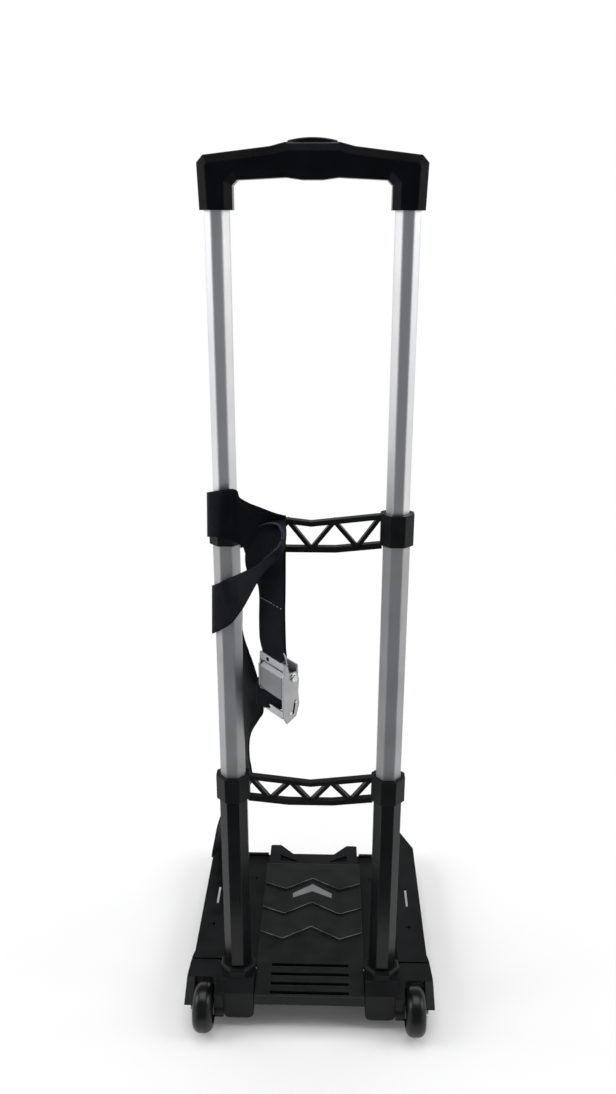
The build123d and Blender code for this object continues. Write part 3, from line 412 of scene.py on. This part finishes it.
def band(name, stations, steps=10, across=12, curls=None):
    """Webbing between two edges, each station giving one point of each edge.

    Curls say how far the first edge turns over to the front, station by station.
    """
    left = [row(*a) for a, _ in stations]
    right = [row(*b) for _, b in stations]
    count = steps * (len(stations) - 1)
    lines = []
    run = [0.0]
    for k in range(count + 1):
        t = k / steps
        a = smooth(left, t)
        b = smooth(right, t)
        line = [a.lerp(b, j / across) for j in range(across + 1)]
        if curls:
            i = min(int(t), len(curls) - 2)
            turn_over = curls[i] + (curls[i + 1] - curls[i]) * (t - i)
            for j in range(across + 1):
                share = max(0.0, 1 - j / (CURL_WIDTH * across))
                forth = Vector((0, -turn_over, -CURL_DROP * turn_over)) / 1000
                line[j] = line[j] + forth * share**1.5
        lines.append(line)
        if k:
            run.append(run[-1] + (lines[k][across // 2] - lines[k - 1][across // 2]).length)
    mesh = bpy.data.meshes.new(name)
    bm = bmesh.new()
    weave = bm.loops.layers.uv.new("weave")
    sides = ([], [])
    for k, line in enumerate(lines):
        ahead = lines[min(k + 1, count)]
        behind = lines[max(k - 1, 0)]
        rows = ([], [])
        for j, p in enumerate(line):
            along = ahead[j] - behind[j]
            over = line[min(j + 1, across)] - line[max(j - 1, 0)]
            n = along.cross(over)
            n = n.normalized() if n.length > 1e-12 else Vector((0, -1, 0))
            rows[0].append(bm.verts.new(p + n * (WEB / 2000)))
            rows[1].append(bm.verts.new(p - n * (WEB / 2000)))
        sides[0].append(rows[0])
        sides[1].append(rows[1])

    def face(corners, marks):
        f = bm.faces.new(corners)
        f.smooth = True
        for loop, (j, k) in zip(f.loops, marks):
            loop[weave].uv = (j / across, run[k] * 1000 / STRAP)

    for k in range(count):
        for j in range(across):
            marks = [(j, k), (j + 1, k), (j + 1, k + 1), (j, k + 1)]
            face([sides[0][b][a] for a, b in marks], marks)
            face([sides[1][b][a] for a, b in reversed(marks)], list(reversed(marks)))
        for j in (0, across):
            marks = [(j, k), (j, k + 1)]
            near = [sides[0][b][a] for a, b in marks]
            far = [sides[1][b][a] for a, b in reversed(marks)]
            face(near + far, marks + list(reversed(marks)))
    for k in (0, count):
        for j in range(across):
            marks = [(j, k), (j + 1, k)]
            near = [sides[0][b][a] for a, b in marks]
            far = [sides[1][b][a] for a, b in reversed(marks)]
            face(near + far, marks + list(reversed(marks)))
    bmesh.ops.recalc_face_normals(bm, faces=bm.faces)
    bm.to_mesh(mesh)
    bm.free()
    mesh.materials.append(WEBBING)
    piece = bpy.data.objects.new(name, mesh)
    bpy.context.scene.collection.objects.link(piece)
    return piece


def edge_pair(x, y, low, high):
    """Station of an upright band: its upper and lower edge at one place."""
    return ((x, y, high), (x, y, low))


wrap_band = band(
    "strap_wrap_band",
    [
        edge_pair(LEFT + 8, 16.4, 622, 660),
        edge_pair(LEFT - 8, 16.4, 622, 660.5),
        edge_pair(LEFT - 17.4, 8.5, 623, 667),
        ((-103.6, -6.5, 672.4), (-105.4, -6.5, 625)),
        ((-91.2, -16.4, 677), (-94, -16.8, 628.5)),
        ((-80, -17.6, 679.6), (-82, -17.9, 625.5)),
        ((-73.6, -18.2, 679), (-72.6, -18.8, 622)),
        ((-70.6, -19, 673.6), (-68.4, -19.6, 619)),
        ((-60, -20.8, 668.8), (-65.5, -20.8, 612)),
        ((-47.9, -22.8, 664.2), (-58, -22, 610)),
        ((-36, -24.6, 658.8), (-48, -23.4, 614)),
        ((-25.5, -26.6, 655.2), (-36, -25.4, 628)),
    ],
    curls=(0, 0, 0, 0, 0, 1, 3, 6, 7.5, 6.5, 4, 1),
)
hanger_band = band(
    "strap_hanger_band",
    [
        ((-58, -20.2, 640), (-24.9, -25.6, 654.6)),
        ((-66, -20, 614), (-24.6, -34, 643)),
        ((-65.3, -19.6, 595), (-24.6, -43, 618)),
        ((-59.4, -18.4, 585.9), (-24.6, -47.6, 599)),
        ((-54.1, -17.2, 577), (-24.8, -50, 580)),
        ((-52.8, -17, 562), (-25.2, -51, 562)),
        ((-53.4, -17, 540), (-25, -51, 541)),
        ((-53.2, -17.4, 520), (-24.6, -50.8, 521)),
        ((-52, -18, 511), (-24.2, -50.4, 511)),
        (buckle(-16.9, 0, 503), buckle(14.5, 0, 502.6)),
    ],
)
loop_stations = [
    ((-53, -25.5, 642.9), (-26, -27.5, 651.6)),
    ((-41.7, -33, 648.9), (-24.6, -30, 648.8)),
    ((-32.2, -40, 649.9), (-24.5, -33.5, 644.9)),
    ((-27.5, -46, 644.4), (-24.3, -38, 637.7)),
    ((-27.3, -49, 638.6), (-25.4, -42.5, 628.6)),
    ((-31.8, -50, 629.5), (-29, -47, 619.6)),
    ((-44.4, -46, 616.7), (-39.6, -48, 608.9)),
    ((-53.2, -40, 607.4), (-52.9, -42, 589.6)),
    ((-70.3, -28, 594.2), (-63.9, -31, 566)),
    ((-85.1, -18, 583.8), (-72.2, -21, 548.6)),
    ((-94.1, -15.5, 578.1), (-83.8, -16.5, 532.1)),
    ((-101.6, -8, 572.3), (-102.8, -8, 517.5)),
    ((-103.2, 4, 567), (-103.8, 4, 514)),
    ((-96, 12.8, 560), (-96.5, 13, 510)),
    ((-83, 13.2, 549), (-84, 13.4, 505)),
    ((-74, 14.4, 540), (-75, 14.6, 500)),
]
loop_band = band("strap_loop_band", loop_stations)
# The loop takes the lighter webbing, a painted sheen
loop_band.data.materials[0] = SHEEN_WEBBING
throat_band = band(
    "strap_throat_band",
    [
        (buckle(18.5, -4, 460.5), buckle(15, -4, 447)),
        (buckle(8, -1.5, 461), buckle(6, -1, 445)),
        (buckle(-8, 2, 461.5), buckle(-6, 4.2, 443)),
        (buckle(-18, 4.6, 461.5), buckle(-15, 5, 441)),
        (buckle(-25.5, 3.4, 463), buckle(-23, 4.6, 438)),
        (buckle(-31, -2, 465), buckle(-28.5, 0, 434)),
        (buckle(-34, -8, 466), buckle(-33, -8, 432)),
    ],
)
tail_band = band(
    "strap_tail_band",
    [
        ((-77, 15.6, 532), (-76, 14.6, 504)),
        ((-77, 16, 514), (-70, 10, 493.5)),
        ((-77, 16.4, 494), (-63, 2.5, 478)),
        ((-77, 16.8, 474), (-57.4, -7.4, 464)),
        ((-77, 17.2, 456), (-55.4, -13.4, 453)),
        ((-77, 17.6, 438), (-51, -17.4, 431)),
        ((-77, 18.5, 420), (-57, -12.2, 416)),
        ((-77, 20, 398), (-66, 0, 394)),
        ((-79, 24, 376), (-69.6, 8, 374.5)),
        ((-81, 33, 356), (-70.2, 14, 352)),
        ((-83, 42, 345), (-69.2, 18, 340)),
    ],
)
lower_band = band(
    "strap_lower_band",
    [
        ((-83, 42, 345), (-69.2, 18, 340)),
        ((-84, 44, 322), (-68.6, 20, 316)),
        ((-88, 52, 304), (-82, 24, 298)),
        ((-100, 74, 274), (-108, 40, 254)),
        ((-112, 112, 206), (-124, 84, 182)),
        ((-114, 160, 146), (-136, 138, 118)),
        ((-112, 206, 96), (-142, 192, 82)),
        ((-111, 244, 62), (-144, 236, 60)),
        ((-111.5, 277, 53.2), (-133, 280, 53.2)),
    ],
)

for piece in (wrap_band, hanger_band, loop_band, throat_band):
    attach(piece, "middle_stage")
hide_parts("strap_collar_wrap", "strap_front_run")
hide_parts("strap_hanger")
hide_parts("strap_tube_wrap", "strap_cross_run")
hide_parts("strap_tail_upper")
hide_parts("strap_tail_lower")
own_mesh(loop_band)
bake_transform(tail_band)
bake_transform(lower_band)


def catches(name, node, body):
    """The leaves of a CAD node, copied to ride on a body in place of the node."""
    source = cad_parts[node]
    piece = bpy.data.objects.new(name, source.data.copy())
    piece.matrix_world = source.matrix_world.copy()
    bpy.context.scene.collection.objects.link(piece)
    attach(piece, body)
    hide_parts(node)
    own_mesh(piece)


catches("middle_catch_leaves", "middle_lock_springs", "middle_stage")
catches("upper_catch_leaves", "upper_lock_springs", "upper_stage")


# Small details
def solid(name, bm, finish, body):
    """A finished mesh as a piece that rides on a body."""
    bmesh.ops.recalc_face_normals(bm, faces=bm.faces)
    mesh = bpy.data.meshes.new(name)
    bm.to_mesh(mesh)
    bm.free()
    mesh.materials.append(finish)
    piece = bpy.data.objects.new(name, mesh)
    bpy.context.scene.collection.objects.link(piece)
    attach(piece, body)
    return piece


def loft(bm, rings):
    """Smooth skin over rings of points, closed at both ends."""
    sides = len(rings[0])
    for low, high in zip(rings, rings[1:]):
        for k in range(sides):
            f = bm.faces.new((low[k], low[(k + 1) % sides], high[(k + 1) % sides], high[k]))
            f.smooth = True
    bm.faces.new(rings[0])
    bm.faces.new(rings[-1])


def dome(bm, centre, axis, radius, height, sides=20):
    """Low round head on a face, with its rim rounded over."""
    turn = axis.to_track_quat("Z", "Y").to_matrix()
    rings = []
    for share, rise in ((1.0, -0.3), (1.0, 0.35), (0.86, 0.72), (0.6, 0.93)):
        ring = []
        for k in range(sides):
            a = 2 * math.pi * k / sides
            p = Vector((radius * share * math.cos(a), radius * share * math.sin(a), height * rise))
            ring.append(bm.verts.new(centre + turn @ p / 1000))
        rings.append(ring)
    loft(bm, rings)


def cross(bm, centre, axis, reach, width, thick):
    """Thin cross-shaped plate at the top of a head, painted shade in place of a driver recess."""
    turn = axis.to_track_quat("Z", "Y").to_matrix()
    h = width / 2
    arm = [(reach, -h), (reach, h), (h, h)]
    points = []
    for quarter in range(4):
        for x, y in arm:
            for _ in range(quarter):
                x, y = -y, x
            points.append((x, y))
    layers = []
    for z in (-thick, thick):
        layers.append([bm.verts.new(centre + turn @ Vector((x, y, z)) / 1000) for x, y in points])
    for k in range(12):
        j = (k + 1) % 12
        bm.faces.new((layers[0][k], layers[0][j], layers[1][j], layers[1][k]))
    bm.faces.new(layers[0])
    bm.faces.new(layers[1])


def patch(bm, corners, thick, axis):
    """Thin plate over corners, as thick to either side of them."""
    lift = axis * (thick / 1000)
    low = [bm.verts.new(row(*c) - lift) for c in corners]
    high = [bm.verts.new(row(*c) + lift) for c in corners]
    count = len(corners)
    for k in range(count):
        j = (k + 1) % count
        bm.faces.new((low[k], low[j], high[j], high[k]))
    bm.faces.new(low)
    bm.faces.new(high)


ASIDE = Vector((0.3, 0.2, 0.9))  # a direction that no bead follows


def bead(bm, points, radius, sides=8, slim=0.0):
    """Round line along points; slim is how much thinner its ends are."""
    rings = []
    last = len(points) - 1
    for i, p in enumerate(points):
        run = (points[min(i + 1, last)] - points[max(i - 1, 0)]).normalized()
        out = run.cross(ASIDE).normalized()
        over = out.cross(run)
        girth = radius * (1 - slim * (2 * i / last - 1) ** 2) / 1000
        ring = []
        for k in range(sides):
            a = 2 * math.pi * k / sides
            ring.append(bm.verts.new(p + (out * math.cos(a) + over * math.sin(a)) * girth))
        rings.append(ring)
    loft(bm, rings)


SIDEWAYS = Vector((math.cos(TURN), -math.sin(TURN), 0))
FORWARD = Vector((-math.sin(TURN), -math.cos(TURN), 0))
UP = Vector((0, 0, 1))

# Lighter bead along the loop's turn, a painted highlight on its fold, from after its first station
# to past its seventh
FOLD_START = 0.4
FOLD_SPAN = 5.8
FOLD_STEPS = 28
fold = bmesh.new()
turned = [row(*a) for a, _ in loop_stations]
fold_line = [
    smooth(turned, FOLD_START + FOLD_SPAN * k / FOLD_STEPS) for k in range(FOLD_STEPS + 1)
]
bead(fold, fold_line, 1.3, slim=0.8)
loop_fold_highlight = solid("strap_loop_fold_highlight", fold, FOLD_HIGHLIGHT, "middle_stage")
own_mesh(loop_fold_highlight)

# Buckle: heads of its pin, a rivet, a wire end, and painted shade in the cross recess, slot and
# hole
PIN = (-10.6, 485.6)  # place in front of the buckle's middle, and height
RIVET = (-13.3, 456)
SLOT = [(-13.9, 458.5), (-12.0, 458.5), (-8.8, 444), (-9.4, 442.6), (-10.6, 443.2)]
HOLE = (-7.8, 498)  # place across the buckle, and height
HOLE_REACH = (2.6, 2.3)
HOLE_SIDES = 12
FLUSH = 0.12  # half the thickness of the plates of painted shade
WIRE = [
    (-26.3, -52.5, 516.9),
    (-24.2, -53.0, 509.8),
    (-23.4, -52.0, 505.1),
    (-22.8, -50.5, 500.6),
]
heads = bmesh.new()
dome(heads, row(*buckle(CHEEK, *PIN)), SIDEWAYS, 4.6, 1.5)
dome(heads, row(*buckle(CHEEK, *RIVET)), SIDEWAYS, 1.7, 1.0)
dome(heads, row(*buckle(-CHEEK, *PIN)), -SIDEWAYS, 4.3, 1.3)
bead(heads, [row(*p) for p in WIRE], 0.55)
solid("buckle_heads", heads, STEEL, "middle_stage")

# Plates of painted shade in the pin's cross recess, the slot and the hole
marks = bmesh.new()
cross(marks, row(*buckle(CHEEK + 1.42, *PIN)), SIDEWAYS, 3.0, 1.3, FLUSH)
patch(marks, [buckle(CHEEK, f, z) for f, z in SLOT], FLUSH, SIDEWAYS)
hole = []
for k in range(HOLE_SIDES):
    a = 2 * math.pi * k / HOLE_SIDES
    w = HOLE[0] + HOLE_REACH[0] * math.cos(a)
    hole.append(buckle(w, 1, HOLE[1] + HOLE_REACH[1] * math.sin(a)))
patch(marks, hole, FLUSH, FORWARD)
solid("buckle_recess_painted_shade", marks, PAINTED_SHADE, "middle_stage")

# Peg under the upper left collar
peg = bmesh.new()
bead(peg, [row(-72.2, -2, z) for z in (617.6, 614.7, 611.8)], 1.2, slim=0.2)
solid("collar_peg", peg, PLASTIC, "middle_stage")

# Plate: webs in its rear windows, groove floors and screw recesses in painted shade, and step rims
# as painted highlights
WINDOW = [(49.4, 241.2), (49.4, 225.2), (19.2, 225.2)]  # corners on the right side
WINDOW_WEB = CHANNEL_FLOOR + 0.6
webs = bmesh.new()
for side in (-1, 1):
    patch(webs, [(side * x, y, WINDOW_WEB) for x, y in WINDOW], 0.5, UP)
solid("plate_window_webs", webs, PLASTIC, "plate")

GROOVES = (17.3, 2.4, -12.6, -26.8)  # middle of each
GROOVE_HALF = (47.95, 2.45)  # half its length and width
GROOVE_FLOOR = DECK_TOP - 1.6
# Dark plates on the groove floors, painted shade
groove_shade = bmesh.new()
for middle in GROOVES:
    half, reach = GROOVE_HALF
    corners = ((-half, -reach), (half, -reach), (half, reach), (-half, reach))
    patch(groove_shade, [(x, middle + y, GROOVE_FLOOR) for x, y in corners], 0.08, UP)
solid("deck_groove_painted_shade", groove_shade, PAINTED_SHADE, "plate")

WING_SCREW = (129, 87, DECK_TOP + 0.02)
CHANNEL_SCREW = (81, 193, CHANNEL_FLOOR + 0.02)
# Dark crosses on the screw heads, painted shade in their recesses
crosses = bmesh.new()
for side in (-1, 1):
    for (x, y, z), reach, width in ((WING_SCREW, 3.6, 1.7), (CHANNEL_SCREW, 3.0, 1.4)):
        cross(crosses, row(side * x, y, z), UP, reach, width, 0.1)
solid("deck_screw_painted_shade", crosses, PAINTED_SHADE, "plate")

STEPS = ((73.0, 126.0), (119.0, 172.0), (167.5, 210.0))  # near edge and end of each step
STEP_RISE = 2.35  # over the deck at the near edge
STEP_FALL = 2.0  # from there to the end
VALLEY_X = 37  # the edge is a zigzag with two valleys and a peak in the middle
VALLEY_DROP = 13
PEAK_RISE = 10
RIM_HALF = 66.2
# Pale beads along the near edges of the steps, painted highlights
highlight_rims = bmesh.new()
for near, end in STEPS:
    start = near - VALLEY_DROP
    zigzag = [(-RIM_HALF, near), (-VALLEY_X, start), (0, near + PEAK_RISE)]
    zigzag += [(VALLEY_X, start), (RIM_HALF, near)]
    line = []
    for x, y in zigzag:
        share = (y - start) / (end - start)
        line.append(row(x, y, DECK_TOP + STEP_RISE - STEP_FALL * share))
    bead(highlight_rims, line, 0.5)
solid("deck_edge_painted_highlights", highlight_rims, RIM_HIGHLIGHT, "plate")


STITCH = ((-1, 0.15), (-0.55, 0.42), (0.55, 0.42), (1, 0.15))  # places along it, and radius


def stitches(bm, z, start, end, pitch, length):
    """One row of pale thread across the hanging strap."""
    count = int((end - start) / pitch)
    for k in range(count + 1):
        spot = row(*buckle(start + k * pitch, 0.8, z))
        rings = []
        for t, girth in STITCH:
            ring = []
            for q in range(6):
                a = math.pi * q / 3
                off = SIDEWAYS * (t * length / 2) + FORWARD * (girth * math.cos(a))
                ring.append(bm.verts.new(spot + (off + UP * (girth * math.sin(a))) / 1000))
            rings.append(ring)
        loft(bm, rings)


seam = bmesh.new()
stitches(seam, 564, -20.5, 1.5, 3.4, 2.7)
stitches(seam, 563.4, 4.5, 18.5, 6.0, 2.2)
solid("strap_stitches", seam, THREAD, "middle_stage")

# Studio: a floor that keeps the shadow near the object and is plain white further off
SEEN_FADE = (0.16, 0.5)  # metres over which it turns white to the camera
MIRRORED_FADE = (1.5, 3.0)  # and in reflections
floor_mesh = bpy.data.meshes.new("studio_floor")
floor_mesh.from_pydata([(-9, -9, 0), (9, -9, 0), (9, 9, 0), (-9, 9, 0)], [], [(0, 1, 2, 3)])
floor_mat, floor_shader = shader("floor_pale", (0.94, 0.94, 0.94), 0.7)
join(
    floor_mat,
    tint(floor_mat, noise(floor_mat, 2), (0.93, 0.93, 0.93), (0.95, 0.95, 0.95)),
    floor_shader.inputs["Base Color"],
)
floor_glow = add(floor_mat, "ShaderNodeEmission", Strength=1.0)
floor_where = add(floor_mat, "ShaderNodeTexCoord")
floor_far = add(floor_mat, "ShaderNodeVectorMath", operation="LENGTH")
join(floor_mat, floor_where.outputs["Object"], floor_far.inputs[0])
floor_path = add(floor_mat, "ShaderNodeLightPath")
mirrored = add(floor_mat, "ShaderNodeMath", operation="ADD", use_clamp=True)
join(floor_mat, floor_path.outputs["Is Glossy Ray"], mirrored.inputs[0])
join(floor_mat, floor_path.outputs["Is Transmission Ray"], mirrored.inputs[1])
shares = []
for rays, fade in (
    (floor_path.outputs["Is Camera Ray"], SEEN_FADE),
    (mirrored.outputs[0], MIRRORED_FADE),
):
    share = add(floor_mat, "ShaderNodeMath", operation="MULTIPLY")
    join(floor_mat, rays, share.inputs[0])
    join(floor_mat, spread(floor_mat, floor_far.outputs["Value"], 0, 1, *fade), share.inputs[1])
    shares.append(share)
floor_fade = add(floor_mat, "ShaderNodeMath", operation="ADD", use_clamp=True)
join(floor_mat, shares[0].outputs[0], floor_fade.inputs[0])
join(floor_mat, shares[1].outputs[0], floor_fade.inputs[1])
floor_mix = add(floor_mat, "ShaderNodeMixShader")
join(floor_mat, floor_fade.outputs[0], floor_mix.inputs[0])
join(floor_mat, floor_shader.outputs[0], floor_mix.inputs[1])
join(floor_mat, floor_glow.outputs[0], floor_mix.inputs[2])
join(floor_mat, floor_mix.outputs[0], floor_mat.node_tree.nodes["Material Output"].inputs[0])
floor_mesh.materials.append(floor_mat)
floor = bpy.data.objects.new("studio_floor", floor_mesh)
bpy.context.scene.collection.objects.link(floor)

# Dim card in front, which only reflections show
card_mesh = bpy.data.meshes.new("studio_card")
card_mesh.from_pydata(
    [
        (-0.25, -0.30, 0.002),
        (0.40, -0.30, 0.002),
        (1.9, -2.6, 0.002),
        (-1.5, -2.6, 0.002),
        (1.9, -2.6, 2.3),
        (-1.5, -2.6, 2.3),
    ],
    [],
    [(0, 1, 2, 3), (3, 2, 4, 5)],
)
card_mat = bpy.data.materials.new("card_dim")
card_mat.use_nodes = True
card_mat.node_tree.nodes.clear()
card_out = add(card_mat, "ShaderNodeOutputMaterial")
card_glow = add(card_mat, "ShaderNodeEmission", Strength=1.0)
card_glow.inputs["Color"].default_value = (0.17, 0.175, 0.185, 1)
join(card_mat, card_glow.outputs[0], card_out.inputs[0])
card_mesh.materials.append(card_mat)
card = bpy.data.objects.new("studio_card", card_mesh)
bpy.context.scene.collection.objects.link(card)
card.visible_camera = False
card.visible_diffuse = False
card.visible_shadow = False
card.visible_transmission = False


def softbox(name, place, aim, size, power):
    """Large lamp at a place, turned to a point; size in metres and power in watts."""
    lamp = bpy.data.lights.new(name, "AREA")
    lamp.shape = "RECTANGLE"
    lamp.size, lamp.size_y = size
    lamp.energy = power
    o = bpy.data.objects.new(name, lamp)
    o.location = place
    o.rotation_euler = (Vector(aim) - Vector(place)).to_track_quat("-Z", "Y").to_euler()
    bpy.context.scene.collection.objects.link(o)


for name, side, power in (("left", -1, 33), ("right", 1, 29)):
    softbox(name, (side * 2.1, -0.2, 1.9), (0, -0.1, 0.4), (1.4, 1.6), power)
softbox("top", (0, 0.1, 2.9), (0, 0, 0), (1.6, 1.6), 34)

# World: white round the horizon, dim overhead
world = bpy.data.worlds.new("studio")
bpy.context.scene.world = world
world.use_nodes = True
sky = world.node_tree.nodes["Background"]
sky.inputs["Strength"].default_value = 1.0
where = add(world, "ShaderNodeTexCoord")
parts = add(world, "ShaderNodeSeparateXYZ")
shade = add(world, "ShaderNodeValToRGB")
horizon, overhead = shade.color_ramp.elements
horizon.position = 0.29
horizon.color = (1, 1, 1, 1)
overhead.position = 0.46
overhead.color = (0.16, 0.16, 0.165, 1)
join(world, where.outputs["Generated"], parts.inputs["Vector"])
join(world, parts.outputs["Z"], shade.inputs["Fac"])
join(world, shade.outputs["Color"], sky.inputs["Color"])

# Camera, at the photograph's place and angle
PITCH = math.radians(19.44)
YAW = math.radians(-1.40)
ROLL = math.radians(0.12)
EYE = row(18.6, -900.6, 930.6)
SENSOR = 36
FOCAL = 30.478
forward = Vector(
    (math.sin(YAW) * math.cos(PITCH), math.cos(YAW) * math.cos(PITCH), -math.sin(PITCH))
)
level = Vector((math.cos(YAW), -math.sin(YAW), 0))
upward = level.cross(forward)
right = level * math.cos(ROLL) + upward * math.sin(ROLL)
up = upward * math.cos(ROLL) - level * math.sin(ROLL)
lens = bpy.data.cameras.new("camera")
lens.sensor_width = SENSOR
lens.lens = FOCAL
lens.clip_start = 0.01
lens.clip_end = 50
camera = bpy.data.objects.new("camera", lens)
turn = Matrix((right, up, -forward)).transposed().to_4x4()
camera.matrix_world = Matrix.Translation(EYE) @ turn
bpy.context.scene.collection.objects.link(camera)
bpy.context.scene.camera = camera
bpy.context.scene.view_settings.view_transform = "Standard"
